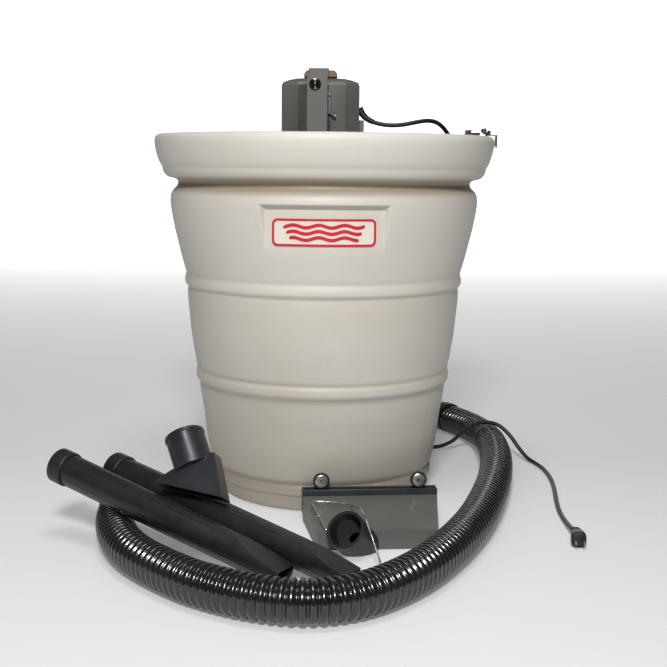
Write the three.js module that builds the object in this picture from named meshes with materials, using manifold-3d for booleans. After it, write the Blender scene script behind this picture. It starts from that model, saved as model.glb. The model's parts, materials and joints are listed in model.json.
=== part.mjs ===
// Tall drum wet/dry dust collector: moulded tank with flared collar, lid with motor
// head and blower, filter and float, latches, hose, wands and nozzles.
// Millimetres, +Z up, origin on the floor under the tank's axis, front towards -Y.
import * as THREE from 'three';
import { mergeVertices } from 'three/addons/utils/BufferGeometryUtils.js';
import Module from 'manifold-3d';

const wasm = await Module();
wasm.setup();

// ---------------------------------------------------------------- dimensions
const RIM_R = 309, RIM_TOP = 655, LEDGE_Z = 634;      // tank collar
const WALL = 7;                                       // tank wall
const HX = -7;                                        // motor axis offset in X
const HOSE_R = 31.5, HOSE_Z = 31.9;                   // 2-1/2 in hose
const CORD_R = 4, CORD_Z = 4.1;                       // mains lead
const WAND_R = 25.6, WAND_BORE = 22.8;                // extension wands
const GAP = 0.3;
const BASE_R = 186;
const PANEL_R = 268.4;                                // badge panel

// ---------------------------------------------------------------- helpers
const V = (x, y, z) => new THREE.Vector3(x, y, z);
function clean(geo) {
  let g = geo.index ? geo : geo.clone();
  for (const k of Object.keys(g.attributes)) if (k !== 'position') g.deleteAttribute(k);
  g = mergeVertices(g, 1e-3);
  const p = g.attributes.position, ix = g.index.array, out = [];
  for (let i = 0; i < ix.length; i += 3) {
    const a = ix[i], b = ix[i + 1], c = ix[i + 2];
    if (a !== b && b !== c && a !== c) out.push(a, b, c);
  }
  let vol = 0;
  const A = V(), B = V(), C = V();
  for (let i = 0; i < out.length; i += 3) {
    A.fromBufferAttribute(p, out[i]); B.fromBufferAttribute(p, out[i + 1]); C.fromBufferAttribute(p, out[i + 2]);
    vol += A.dot(B.cross(C)) / 6;
  }
  if (vol < 0) for (let i = 0; i < out.length; i += 3) { const t = out[i]; out[i] = out[i + 1]; out[i + 1] = t; }
  g.setIndex(out);
  return g;
}
function solid(geo) {
  const g = clean(geo);
  return new wasm.Manifold(new wasm.Mesh({ numProp: 3,
    vertProperties: new Float32Array(g.attributes.position.array), triVerts: new Uint32Array(g.index.array) }));
}
function geoOf(m) {
  const s = m.getMesh(), g = new THREE.BufferGeometry(), n = s.numProp, c = s.vertProperties.length / n;
  const p = new Float32Array(c * 3);
  for (let i = 0; i < c; i++) for (let k = 0; k < 3; k++) p[i * 3 + k] = s.vertProperties[i * n + k];
  g.setAttribute('position', new THREE.BufferAttribute(p, 3));
  g.setIndex(Array.from(s.triVerts));
  return g;
}
const add = (...l) => geoOf(l.slice(1).reduce((a, b) => a.add(solid(b)), solid(l[0])));
const cut = (a, ...l) => geoOf(l.reduce((m, b) => m.subtract(solid(b)), solid(a)));
const box = (x0, x1, y0, y1, z0, z1) =>
  new THREE.BoxGeometry(x1 - x0, y1 - y0, z1 - z0).translate((x0 + x1) / 2, (y0 + y1) / 2, (z0 + z1) / 2);
// profile points [r, z], turned about Z at (x, y); a ring closes on itself
function lathe(pts, seg, x = 0, y = 0) {
  const onAxis = pts[0][0] === 0 && pts[pts.length - 1][0] === 0;
  const l = onAxis ? pts : [...pts, pts[0]];
  return new THREE.LatheGeometry(l.map(q => new THREE.Vector2(q[0], q[1])), seg).rotateX(Math.PI / 2).translate(x, y, 0);
}
const ring = (ri, ro, z0, z1, seg, x = 0, y = 0) => lathe([[ri, z0], [ro, z0], [ro, z1], [ri, z1]], seg, x, y);
const disc = (r, z0, z1, seg, x = 0, y = 0) => lathe([[0, z0], [r, z0], [r, z1], [0, z1]], seg, x, y);
function prism(poly, z0, z1) {
  const s = new THREE.Shape(poly.map(p => new THREE.Vector2(p[0], p[1])));
  return new THREE.ExtrudeGeometry(s, { depth: z1 - z0, bevelEnabled: false, steps: 1 }).translate(0, 0, z0);
}
function regular(r, n) {
  const s = new THREE.Shape();
  for (let i = 0; i < n; i++) {
    const a = Math.PI / n + (2 * Math.PI * i) / n;
    if (i) s.lineTo(r * Math.cos(a), r * Math.sin(a)); else s.moveTo(r * Math.cos(a), r * Math.sin(a));
  }
  s.closePath();
  return s;
}
function tube(points, r, seg, steps, straight = false) {
  const pv = points.map(p => V(...p));
  let path;
  if (straight) { path = new THREE.CurvePath(); for (let i = 1; i < pv.length; i++) path.add(new THREE.LineCurve3(pv[i - 1], pv[i])); }
  else path = new THREE.CatmullRomCurve3(pv, false, 'centripetal');
  return new THREE.ExtrudeGeometry(regular(r, seg), { steps, extrudePath: path, bevelEnabled: false });
}
// frame with local Z along dir, placed at p
function along(geo, p, dir, up = V(0, 0, 1)) {
  const z = dir.clone().normalize();
  let x = up.clone().cross(z); if (x.length() < 1e-6) x = V(1, 0, 0); x.normalize();
  const y = z.clone().cross(x);
  return geo.clone().applyMatrix4(new THREE.Matrix4().makeBasis(x, y, z).setPosition(p));
}

// ---------------------------------------------------------------- materials
const mat = (c, r, m = 0) => new THREE.MeshStandardMaterial({ color: c, roughness: r, metalness: m });
const M = {
  tank: mat(0xd8cfbd, 0.5), badge: mat(0xe9e2d2, 0.4), head: mat(0x5d5f59, 0.55), black: mat(0x17181b, 0.45),
  gloss: mat(0x0c0c0e, 0.2), chrome: mat(0xc9ccd0, 0.15, 1), steel: mat(0x8c8f92, 0.35, 1), rubber: mat(0x141414, 0.8),
  brown: mat(0x8a6a50, 0.7), brass: mat(0xb08d4a, 0.3, 1), lid: mat(0x2b2c2f, 0.5), paper: mat(0xe6ddc2, 0.9),
  iron: mat(0x55575a, 0.5, 1), copper: mat(0x9b5a33, 0.4, 1), zinc: mat(0x9aa3ab, 0.4, 1), grey: mat(0x62655f, 0.55),
  ball: mat(0xd9d4c8, 0.5), alloy: mat(0xb5b8ba, 0.4, 1),
};
const root = new THREE.Group();
function put(name, geo, material, parent = root) {
  const g = clean(geo);
  g.computeVertexNormals();
  const m = new THREE.Mesh(g, material);
  m.name = name;
  parent.add(m);
  return m;
}

// ---------------------------------------------------------------- tank
const OUT = [
  [0, 0], [BASE_R, 0], [192, 7], [201.5, 29], [206, 33], [206.5, 47], [204.5, 51], [209, 60], [222, 140], [228, 183],
  [231.6, 200], [236, 213], [236.5, 226], [235.5, 232], [243, 282], [248.5, 340], [251, 378], [255.5, 386], [256, 400],
  [254, 407], [262, 437], [273, 478], [279, 516], [281.5, 532], [281, 548], [276, 558], [267, 566], [267, 574], [286, 579],
  [290, 586], [300, 604], [307, 624], [309, 634], [309, 646], [305.5, 653], [302, RIM_TOP],
];
const IN = [
  [0, 8], [182, 8], [186, 12], [196, 36], [215, 140], [229, 232], [243.5, 372], [254, 437], [266, 490], [273, 532],
  [269, 550], [258, 566], [258, 578], [270, 596], [284, 622], [284, LEDGE_Z], [297, LEDGE_Z], [297, RIM_TOP], [0, RIM_TOP + 4],
];
IN[17] = [297, RIM_TOP + 4];
const outer = solid(lathe([...OUT, [0, RIM_TOP]], 44));
const cavity = solid(lathe(IN, 44)).subtract(solid(ring(PANEL_R - 7, 320, 452, 545, 44)).intersect(solid(box(-110, 118, -330, -100, 440, 560))));
// badge recess: an upright curved panel let into the flared wall, deepest at the top and flush at the bottom
const recess = solid(lathe([[PANEL_R, 455], [340, 455], [340, 540], [PANEL_R + 12, 540], [PANEL_R, 534]], 44)).intersect(solid(prism([[-96, -200], [104, -200], [116, -340], [-108, -340]], 455, 545)));
put('drum', geoOf(outer.subtract(cavity).subtract(recess)), M.tank);
put('badge_plate', geoOf(solid(ring(PANEL_R + GAP, PANEL_R + 2.2, 474, 521, 44)).intersect(solid(box(-83, 90, -330, -100, 470, 525)))), M.badge);

// ---------------------------------------------------------------- lid and blower
const lidGroup = new THREE.Group(); root.add(lidGroup);
const PORT = [-165, 95];
put('lid_gasket', ring(286.5, 296, LEDGE_Z + GAP, 637, 32), M.rubber, lidGroup);
put('lid', cut(lathe([[72, 637.3], [295.5, 637.3], [295.5, 650], [290, 650], [287, 643.3], [110, 643.3], [106, 649], [72, 649]], 40, 0, 0)
  , disc(30.2, 630, 660, 24, ...PORT), disc(72, 630, 660, 32, HX, 0), disc(2.6, 638.6, 660, 8, 115, -20)), M.lid, lidGroup);
put('inlet_port', lathe([[26, 604], [29.5, 604], [29.5, 643.6], [44, 643.6], [44, 648], [34, 648], [34, 654.5], [26, 654.5]], 24, ...PORT), M.black, lidGroup);
{ // elbow that turns the incoming air along the tank wall
  const s = regular(29, 12); s.holes.push(regular(25.5, 12));
  const [px, py] = PORT;
  const path = new THREE.CatmullRomCurve3([V(px, py, 603.7), V(px, py, 588), V(px - 5, py - 9, 575), V(px - 14, py - 24, 566), V(px - 26, py - 44, 562)]);
  put('inlet_elbow', new THREE.ExtrudeGeometry(s, { steps: 7, extrudePath: path, bevelEnabled: false }), M.black, lidGroup);
}
put('lid_screw', add(disc(2.3, 639, 655, 8, 115, -20), disc(7, 643.6, 646, 12, 115, -20), disc(5, 645, 661, 6, 115, -20)), M.zinc, lidGroup);
put('fan_housing', lathe([[20, 596], [70.5, 596], [70.5, 649], [68, 649], [68, 599], [20, 599]], 32, HX, 0), M.steel, lidGroup);
put('motor_base_ring', ring(72.5, 99, 649.3, 656, 36, HX, 0), M.black, lidGroup);
put('end_bracket', ring(13.3, 71.5, 649.6, 655.7, 32, HX, 0), M.alloy, lidGroup);
put('lower_bearing', ring(5.35, 13, 647, 656, 20, HX, 0), M.steel, lidGroup);
put('motor_field', cut(ring(26.5, 45, 670, 708, 24, HX, 0), box(HX - 60, HX + 60, -60, -40, 660, 720), box(HX - 60, HX + 60, 40, 60, 660, 720)), M.iron, lidGroup);
put('upper_bush_plate', lathe([[5.35, 730], [12, 730], [12, 733], [45, 733], [45, 737], [5.35, 737]], 24, HX, 0), M.alloy, lidGroup);
put('brush_holder_left', box(HX - 34, HX - 14.3, -4, 4, 716, 726), M.brass, lidGroup);
put('brush_holder_right', box(HX + 14.3, HX + 34, -4, 4, 716, 726), M.brass, lidGroup);
// motor cover: faceted shell with a front console, open below
const COV = [[-77.5, -34], [-48, -52], [-31, -82], [4.5, -82], [4.5, -57], [8.5, -60], [37, -52], [62.5, -33], [62.5, 33], [37, 52], [-48, 52], [-77.5, 34]];
const COVO = [[-77.5, -34], [-48, -52], [37, -52], [62.5, -33], [62.5, 33], [37, 52], [-48, 52], [-77.5, 34]];                                // outline without the console
const COVI = [[-74.3, -32.4], [-46, -49.6], [-29, -78.8], [1.3, -78.8], [1.3, -54.5], [8.5, -56.8], [35.8, -49], [59.3, -31.4], [59.3, 31.4], [35.8, 48.8], [-46.8, 48.8], [-74.3, 32.2]];
const CON = [[-31, -82], [4.5, -82], [4.5, -40], [-31, -40]], CONI = [[-27.8, -78.8], [1.3, -78.8], [1.3, -43.2], [-27.8, -43.2]];
// stack of outlines, each a scaled copy about (-7.5, 0), closed top and bottom
function dome(poly, levels) {
  const n = poly.length, pos = [], at = (k, i) => { const [s, z] = levels[k], p = poly[i % n]; return [-7.5 + (p[0] + 7.5) * s, p[1] * s, z]; };
  const tri = (a, b, c) => pos.push(...a, ...b, ...c);
  for (let k = 0; k + 1 < levels.length; k++) for (let i = 0; i < n; i++) { tri(at(k, i), at(k, i + 1), at(k + 1, i + 1)); tri(at(k, i), at(k + 1, i + 1), at(k + 1, i)); }
  const top = levels.length - 1;
  for (let i = 1; i + 1 < n; i++) { tri(at(0, 0), at(0, i + 1), at(0, i)); tri(at(top, 0), at(top, i), at(top, i + 1)); }
  return new THREE.BufferGeometry().setAttribute('position', new THREE.Float32BufferAttribute(pos, 3));
}
{
  let m = solid(prism(COV, 656.3, 743)).add(solid(prism(CON, 656.3, 757))).add(solid(dome(COVO, [[1, 742.5], [0.965, 748.5], [0.80, 753], [0.62, 756]])));
  m = m.subtract(solid(prism(COVI, 650, 740))).subtract(solid(prism(CONI, 700, 753.8)));
  m = m.add(solid(box(60.6, 71.5, -20, 20, 656.3, 683)));
  m = m.subtract(solid(new THREE.CylinderGeometry(7.2, 7.2, 30, 20).translate(-17, -82, 742.5)));        // button hole, along Y
  m = m.subtract(solid(new THREE.BoxGeometry(12, 8, 24).translate(4.5, -70, 693)));                       // toggle slot
  m = m.subtract(solid(new THREE.CylinderGeometry(4.2, 4.2, 12, 12).rotateZ(Math.PI / 2).translate(62.5, 0, 697)));
  put('head_cover', geoOf(m), M.head, lidGroup);
}
put('top_vent_cap', dome([[-38, -34], [23, -34], [23, 34], [-38, 34]], [[1, 757.3], [0.97, 764], [0.84, 770.5]]), M.brown, lidGroup);
put('top_strap', cut(box(-29, 7.5, -38, 38, 757.3, 773.5), box(-32, 15, -34.3, 34.3, 750, 770.8)), M.head, lidGroup);
put('button_bezel', (() => { const g = cut(ring(7.4, 10.5, 0, 3, 24), box(-1, 1, -1, 1, -9, -8)); return g.rotateX(Math.PI / 2).translate(-17, -82.3, 742.5); })(), M.chrome, lidGroup);
const BTN = lathe([[0, -9], [5.5, -9], [6.9, -8.7], [6.9, 3], [5.5, 5], [0, 5.8]], 24).rotateX(Math.PI / 2).translate(-17, -82.3, 742.5);
put('reset_button', BTN, M.gloss, lidGroup);
put('toggle_plate', geoOf(solid(box(4.8, 6.3, -80, -60.4, 657, 731)).add(solid(box(4.8, 11.3, -61.9, -60.4, 657, 731))).subtract(solid(box(0, 15, -73, -67, 684, 704)))), M.steel, lidGroup);
for (const [n, z] of [['toggle_screw_upper', 724], ['toggle_screw_lower', 663]])
  put(n, new THREE.CylinderGeometry(2.3, 1.7, 1.4, 12).translate(8.9, -62.95, z), M.chrome, lidGroup);
{ // lever of the switch, its ball end inside the console
  const a = -25 * Math.PI / 180;
  const g = add(new THREE.SphereGeometry(3.6, 8, 6), new THREE.CylinderGeometry(2.6, 1.8, 20, 10).rotateZ(-Math.PI / 2).translate(10.5, 0, 0));
  put('toggle_lever', g.rotateY(-a).translate(0.9, -70, 697), M.chrome, lidGroup);
}
{ // tapered strain relief on the right of the cover
  const g = new THREE.CylinderGeometry(5, 7.6, 24, 12).translate(0, 12, 0);
  const c = new THREE.CylinderGeometry(4.3, 4.3, 40, 10).translate(0, 10, 0);
  put('strain_relief', cut(g, c).rotateZ(-Math.PI / 2 - 0.62).translate(62.8 + 4.9, 0, 697.5), M.rubber, lidGroup);
}
// rotor
put('motor_shaft', disc(5, 600, 739.5, 16, HX, 0), M.steel, lidGroup);
{
  let m = solid(ring(5.3, 11, 604, 634, 16, HX, 0)).add(solid(ring(5.3, 62, 604, 606, 32, HX, 0)));
  const cutRing = solid(disc(10, 590, 640, 16, HX, 0));
  for (let i = 0; i < 8; i++) m = m.add(solid(box(9, 60, -1.2, 1.2, 605, 622).rotateZ(i * Math.PI / 4 + 0.1).translate(HX, 0, 0)).subtract(cutRing));
  put('impeller', geoOf(m), M.alloy, lidGroup);
}
put('cooling_fan', (() => { let m = solid(ring(5.3, 12, 657, 665, 16, HX, 0)); for (let i = 0; i < 6; i++) m = m.add(solid(box(11, 38, -2, 2, 658, 664).rotateZ(i * Math.PI / 3).translate(HX, 0, 0))); return geoOf(m); })(), M.black, lidGroup);
put('armature', ring(5.3, 25.6, 672, 706, 20, HX, 0), M.copper, lidGroup);
put('commutator', ring(5.3, 14, 713, 729, 20, HX, 0), M.copper, lidGroup);
// filter stack below the lid
put('filter_cage', cut(lathe([[58, 446], [0, 446], [0, 440], [63, 440], [63, 595.7], [21, 595.7], [21, 591.7], [59, 591.7], [59, 446]].map(p => p), 24, HX, 0),
  ...[0, 1, 2].map(i => box(-80, 80, -14, 14, 470, 570).rotateZ(i * Math.PI / 3).translate(HX, 0, 0))), M.black, lidGroup);
put('float_ball', new THREE.SphereGeometry(36, 14, 8).rotateX(Math.PI / 2).translate(HX, 0, 485), M.ball, lidGroup);
put('cartridge_filter', ring(64, 96, 442, 590, 28, HX, 0), M.paper, lidGroup);
put('filter_nut', lathe([[0, 418], [18, 418], [18, 430], [90, 430], [90, 439.6], [0, 439.6]], 20, HX, 0), M.black, lidGroup);
// draw latches: base on the lid, cover plate and hook over the rim
function latch(suffix, az) {
  const t = g => g.rotateZ(az);
  put('latch_base_' + suffix, t(add(box(252, 286, -11, 11, 643.6, 646), box(258, 268, -11, -8, 645, 668), box(258, 268, 8, 11, 645, 668))), M.chrome, lidGroup);
  put('latch_lever_' + suffix, t(add(box(258, 280, -7.4, 7.4, 657, 660), box(263, 300, -4.5, 4.5, 659, 663), box(298, 304, -7.4, 7.4, 659, 667))), M.chrome, lidGroup);
  put('latch_hook_' + suffix, t(add(box(280.4, 316, -11, 11, 657.2, 659), box(313, 316, -11, 11, 636, 659), box(285, 296, -9, -6, 658.6, 671), box(285, 296, 6, 9, 658.6, 671))), M.chrome, lidGroup);
}
latch('right', 0);
latch('rear', Math.PI / 2);

// ---------------------------------------------------------------- hose and lead
const HOSE = [
  [-337, -291], [-335, -325], [-329, -362], [-318, -405], [-300, -452], [-278, -494], [-250, -533], [-217, -571], [-178, -609],
  [-139, -637], [-101, -658], [-64, -672], [-27, -679], [12, -674], [54, -654], [99, -613], [143, -556], [182, -488], [220, -408],
  [254, -320], [282, -230], [306, -140], [326, -50], [342, 45], [351, 140], [351, 225], [338, 305], [318, 362], [293, 412],
].map(p => [...p, HOSE_Z]);
put('hose', tube(HOSE, HOSE_R, 10, 40), M.black);
function cuff(name, a, b) {
  const p = V(a[0], a[1], 33.4), d = V(b[0] - a[0], b[1] - a[1], 0), L = d.length();
  put(name, along(lathe([[26, 0], [31.5, 0], [33, 3], [33, 26], [31, 32], [31, L], [26, L]], 16), p, d), M.black);
}
cuff('hose_cuff_tank', [-337.04, -290.3], [-342.1, -204.7]);
cuff('hose_cuff_tool', [292.68, 412.64], [256.0, 486.0]);
const CORD = [
  [84.5, 0, 682.5], [93, 0, 679.5], [107, 0.5, 676.3], [121, 1.5, 675.2], [135, 3, 675.6], [148, 5, 677.2], [162, 8, 680], [176, 12, 682.8],
  [191, 18, 684.6], [206, 26, 682.5], [219, 36, 675], [230, 49, 664], [238, 66, 655], [241, 88, 650], [236, 115, 648.6], [224, 144, 648.4],
  [208, 172, 648.6], [190, 199, 650], [175, 223, 654.5], [167, 243, 659.5], [165, 258, 661.2], [166, 270, 657], [168, 277, 645], [169, 279.5, 620],
  [169, 280, 560], [169, 280, 480], [169, 280, 400], [169, 280, 300], [170, 280, 200], [172, 280, 110], [178, 278, 50], [194, 273, 16],
  [222, 264, CORD_Z + 0.4], [250, 254, 7], [276, 245, 20], [300, 237, 44], [322, 229, 62], [346, 219, 69.5], [370, 207, 66], [392, 193, 48], [410, 178, 24],
  [425, 160, 8], [436, 136, CORD_Z + 0.3], [443, 105, CORD_Z], [446, 60, CORD_Z], [444, 5, CORD_Z], [437, -55, CORD_Z], [428, -115, CORD_Z], [421, -170, CORD_Z],
  [418, -215, CORD_Z], [417, -250, 6], [416.5, -285, 9], [416, -312, 12.2],
];
put('power_cord', tube(CORD, CORD_R, 8, 84), M.rubber);
{ // plug lying on the floor, blades forward
  const g = new THREE.Group(); g.position.set(415.6, -345, 12.8); g.rotation.z = -0.10; root.add(g);
  const body = add(box(-12, 12, -22, 8, -12.4, 12.4), new THREE.CylinderGeometry(6, 9.5, 24, 12).translate(0, 20, 0));
  put('plug', body, M.rubber, g);
  put('plug_blade_left', box(-7.2, -5.7, -39, -22.3, -3.2, 3.2), M.brass, g);
  put('plug_blade_right', box(5.7, 7.2, -39, -22.3, -3.2, 3.2), M.brass, g);
}

// ---------------------------------------------------------------- wands
function wand(name, a, b) {
  const p = V(...a), d = V(b[0] - a[0], b[1] - a[1], b[2] - a[2]), L = d.length();
  const t = lathe([[WAND_BORE, 0], [28.5, 0], [28.5, 26], [WAND_R, 30], [WAND_R, L - 60], [22.6, L - 4], [22.6, L], [WAND_BORE - 1.5, L], [WAND_BORE - 1.5, 34], [WAND_BORE, 30]], 16);
  put(name, along(t, p, d), M.black);
}
wand('wand_front', [-425.7, -322, 117.4], [-50.7, -554.2, 24]);
wand('wand_rear', [-345, -272, 98], [44, -568, 25]);

// ---------------------------------------------------------------- utility nozzle
{
  const x = V(0.9312, -0.3505, -0.1001).normalize(), y0 = V(0.2617, 0.4518, 0.8529);
  const z = x.clone().cross(y0).normalize(), y = z.clone().cross(x);
  const Mx = new THREE.Matrix4().makeBasis(x, y, z).setPosition(V(-254.2, -412.2, 115.8));
  const fan = prism([[-7, 0], [114, 0], [76, 66], [34, 41]], -34, 0);
  const fanIn = prism([[-2, -5], [108, -5], [73, 60], [37, 37]], -31, -3);
  const ax = V(-0.593, 0.805, 0), base = V(46.4, 37.9, -17);
  const neck = along(disc(31, 0, 58, 24), base, ax), rim = along(disc(32.2, 53, 59, 24), base, ax), bore = along(disc(27.5, 3, 65, 24), base, ax);
  const g = geoOf(solid(fan).add(solid(neck)).add(solid(rim)).subtract(solid(fanIn)).subtract(solid(bore)));
  put('utility_nozzle', g.applyMatrix4(Mx), M.black);
}

// ---------------------------------------------------------------- water pickup nozzle, stored upside down
const wn = new THREE.Group(); wn.position.set(-31, -240, 0); wn.rotation.z = 5 * Math.PI / 180; root.add(wn);
// local X along the mouth, local Y away from the front
{
  // body: low wedge, higher at the mouth
  const side = new THREE.Shape([[0, 0.4], [-152, 0.4], [-152, 30], [0, 43]].map(p => new THREE.Vector2(p[0], p[1])));
  let wedge = new THREE.ExtrudeGeometry(side, { depth: 232, bevelEnabled: false, steps: 1 });
  wedge = wedge.applyMatrix4(new THREE.Matrix4().makeBasis(V(0, 1, 0), V(0, 0, 1), V(1, 0, 0)));
  const plan = prism([[0, 2], [232, 2], [206, -152], [12, -152]], -5, 60);
  const sIn = new THREE.Shape([[-6, 4], [-146, 4], [-146, 26], [-6, 39]].map(p => new THREE.Vector2(p[0], p[1])));
  let inn = new THREE.ExtrudeGeometry(sIn, { depth: 232, bevelEnabled: false, steps: 1 });
  inn = inn.applyMatrix4(new THREE.Matrix4().makeBasis(V(0, 1, 0), V(0, 0, 1), V(1, 0, 0)));
  const planIn = prism([[5, -4], [227, -4], [202, -147], [17, -147]], 3, 60);
  const hollow = solid(inn).intersect(solid(planIn));
  let m = solid(wedge).intersect(solid(plan)).subtract(hollow);
  m = m.subtract(solid(new THREE.CylinderGeometry(13, 13, 20, 16).translate(76, -150, 16)));      // air way to the neck
  m = m.subtract(solid(box(40, 192, -8, 6, 14, 26)));                                             // air way to the mouth
  put('nozzle_body', geoOf(m), M.grey, wn);
  const chan = prism([[-0.5, 2.3], [232.5, 2.3], [232.5, 24], [-0.5, 24]], 12, 53);
  put('mouth_channel', cut(chan, box(3, 229, 5, 21.5, 30, 60), box(40, 192, -2, 8, 14, 26), box(60, 170, 5, 21.5, 18, 40)), M.zinc, wn);
  put('squeegee_strip', box(5, 227, 5.4, 8, 30.3, 52.5), M.rubber, wn);
}
for (const [n, x] of [['left', 32], ['right', 200]]) {
  put('caster_pin_' + n, add(new THREE.CylinderGeometry(2.2, 2.2, 15, 10).translate(x, 12, 68), box(x - 2.5, x + 2.5, 12.2, 16.3, 30.4, 67)), M.chrome, wn);
  const w = lathe([[2.6, -4], [9, -4], [13.9, -3], [14.3, 0], [13.9, 3], [9, 4], [2.6, 4]], 16).rotateX(Math.PI / 2);
  put('caster_wheel_' + n, w.translate(x, 7.2, 68), M.chrome, wn);
}
{ // round neck, opening up and to the front left
  const nv = V(-0.42, -0.66, 0.62).normalize(), p0 = V(37.6, -420, 44.8);
  const shift = p0.clone().addScaledVector(nv, -64);
  const nk = along(ring(27, 30.5, 0, 64, 18), shift, nv), lip = along(ring(27, 31.8, 58, 64.2, 18), shift, nv);
  let m = solid(nk).add(solid(lip));
  // stay in front of the body and above the floor
  const T = new THREE.Matrix4().makeRotationZ(5 * Math.PI / 180).setPosition(V(-31, -240, 0));
  const keepOut = box(-60, 300, -152.4, 60, -40, 120).applyMatrix4(T);
  m = m.subtract(solid(keepOut)).subtract(solid(box(-200, 300, -700, 0, -80, 0.5)));
  put('nozzle_neck', geoOf(m), M.black);
}
{ // wire bail over the body
  const W = [[9, -396, 36.5], [4, -372, 37.5], [-12, -296, 44], [-14, -283, 45.6], [-4, -279, 46], [40, -288, 46], [49, -294, 46], [53, -312, 49], [58, -360, 62], [62, -395, 72], [67, -430, 70], [77, -456, 48], [86, -468, 24], [90.5, -474, 10]];
  put('wire_bail', tube(W, 1.6, 6, 30), M.chrome);
}

export default root;
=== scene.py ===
"""Looks for the drum dust collector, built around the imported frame."""
import json
import math
import bpy
import bmesh
import numpy as np
from mathutils import Matrix, Vector


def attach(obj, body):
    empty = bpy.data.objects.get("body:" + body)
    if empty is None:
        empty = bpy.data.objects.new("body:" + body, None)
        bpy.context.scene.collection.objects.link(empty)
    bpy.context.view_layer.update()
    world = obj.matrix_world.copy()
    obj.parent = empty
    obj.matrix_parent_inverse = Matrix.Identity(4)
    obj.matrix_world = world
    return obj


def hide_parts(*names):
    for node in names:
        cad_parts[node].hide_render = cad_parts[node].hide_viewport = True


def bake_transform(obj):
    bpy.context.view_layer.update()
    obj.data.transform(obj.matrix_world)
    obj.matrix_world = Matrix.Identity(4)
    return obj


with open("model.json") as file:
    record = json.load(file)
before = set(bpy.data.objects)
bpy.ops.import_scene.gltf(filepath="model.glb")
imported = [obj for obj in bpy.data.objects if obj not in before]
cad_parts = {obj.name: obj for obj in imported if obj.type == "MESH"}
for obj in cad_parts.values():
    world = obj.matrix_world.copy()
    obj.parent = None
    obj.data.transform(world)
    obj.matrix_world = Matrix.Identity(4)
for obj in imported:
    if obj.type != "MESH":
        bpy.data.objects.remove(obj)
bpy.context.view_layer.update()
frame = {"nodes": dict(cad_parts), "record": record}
REC = frame["record"]
BODY = {n: b for b, ns in REC["behaviour"]["bodies"].items() for n in ns}
SLOT = {s["node"]: s["material_slot"] for s in REC["subparts"]}
MM = 0.001
scene = bpy.context.scene

# ------------------------------------------------------------------ camera
cam = bpy.data.cameras.new("camera")
cam.sensor_fit = "HORIZONTAL"
cam.sensor_width = 36.0
cam.lens = 36.0 * 1129.36 / 667.0
cam.shift_x = 10.948 / 667.0
cam.clip_start = 0.05
cam.dof.use_dof = False
co = bpy.data.objects.new("camera", cam)
co.location = (0.0, -2.1032, 0.607)
co.rotation_euler = (Matrix.Rotation(math.radians(90 - 8.62086), 3, "X") @ Matrix.Rotation(math.radians(0.52914), 3, "Z")).to_euler()
scene.collection.objects.link(co)
scene.camera = co

# ------------------------------------------------------------------ light
scene.view_settings.view_transform = "Standard"
scene.view_settings.look = "None"
world = bpy.data.worlds.new("studio")
scene.world = world
world.use_nodes = True
wt = world.node_tree
wt.nodes.clear()
wo = wt.nodes.new("ShaderNodeOutputWorld")
wb = wt.nodes.new("ShaderNodeBackground")
wc = wt.nodes.new("ShaderNodeTexCoord")
ws = wt.nodes.new("ShaderNodeSeparateXYZ")
wr = wt.nodes.new("ShaderNodeValToRGB")
wt.links.new(wc.outputs["Generated"], ws.inputs[0])
wt.links.new(ws.outputs["Z"], wr.inputs[0])
wr.color_ramp.elements[0].position = 0.0
wr.color_ramp.elements[0].color = (0.16, 0.14, 0.115, 1)
wr.color_ramp.elements[1].position = 0.9
wr.color_ramp.elements[1].color = (0.42, 0.43, 0.45, 1)
wt.links.new(wr.outputs[0], wb.inputs[0])
wb.inputs[1].default_value = 0.30
wt.links.new(wb.outputs[0], wo.inputs[0])


def area(name, loc, target, size, power, color=(1, 1, 1), size_y=None):
    l = bpy.data.lights.new(name, "AREA")
    l.energy = power
    l.size = size
    if size_y:
        l.shape = "RECTANGLE"
        l.size_y = size_y
    l.color = color
    o = bpy.data.objects.new(name, l)
    o.location = loc
    o.rotation_euler = (Vector(target) - Vector(loc)).to_track_quat("-Z", "Y").to_euler()
    scene.collection.objects.link(o)
    return o


area("key", (-0.10, -2.75, 2.05), (0, 0, 0.34), 0.5, 80, (1.0, 0.99, 0.98))
area("top", (0.0, -0.9, 2.9), (0, -0.1, 0.2), 0.9, 22, (0.90, 0.94, 1.0))


# ------------------------------------------------------------------ helpers
def link(o):
    scene.collection.objects.link(o)
    return o


def mesh_obj(name, verts, faces, smooth=True, sharp=None):
    me = bpy.data.meshes.new(name)
    me.from_pydata([tuple(float(c) for c in v) for v in verts], [], faces)
    me.update()
    bm = bmesh.new()
    bm.from_mesh(me)
    bmesh.ops.recalc_face_normals(bm, faces=bm.faces)
    bm.to_mesh(me)
    bm.free()
    if smooth:
        me.shade_smooth()
    if sharp is not None:
        me.set_sharp_from_angle(angle=math.radians(sharp))
    return link(bpy.data.objects.new(name, me))


def grid_faces(rows, cols, wrap_r=False, wrap_c=True):
    f = []
    for i in range(rows if wrap_r else rows - 1):
        for j in range(cols if wrap_c else cols - 1):
            a, b = i * cols + j, i * cols + (j + 1) % cols
            c, d = ((i + 1) % rows) * cols + (j + 1) % cols, ((i + 1) % rows) * cols + j
            f.append((a, b, c, d))
    return f


def basis(dirv, up=(0, 0, 1)):
    z = Vector(dirv).normalized()
    x = Vector(up).cross(z)
    if x.length < 1e-6:
        x = Vector((1, 0, 0))
    x.normalize()
    y = z.cross(x)
    return Matrix((x, y, z)).transposed()


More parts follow.
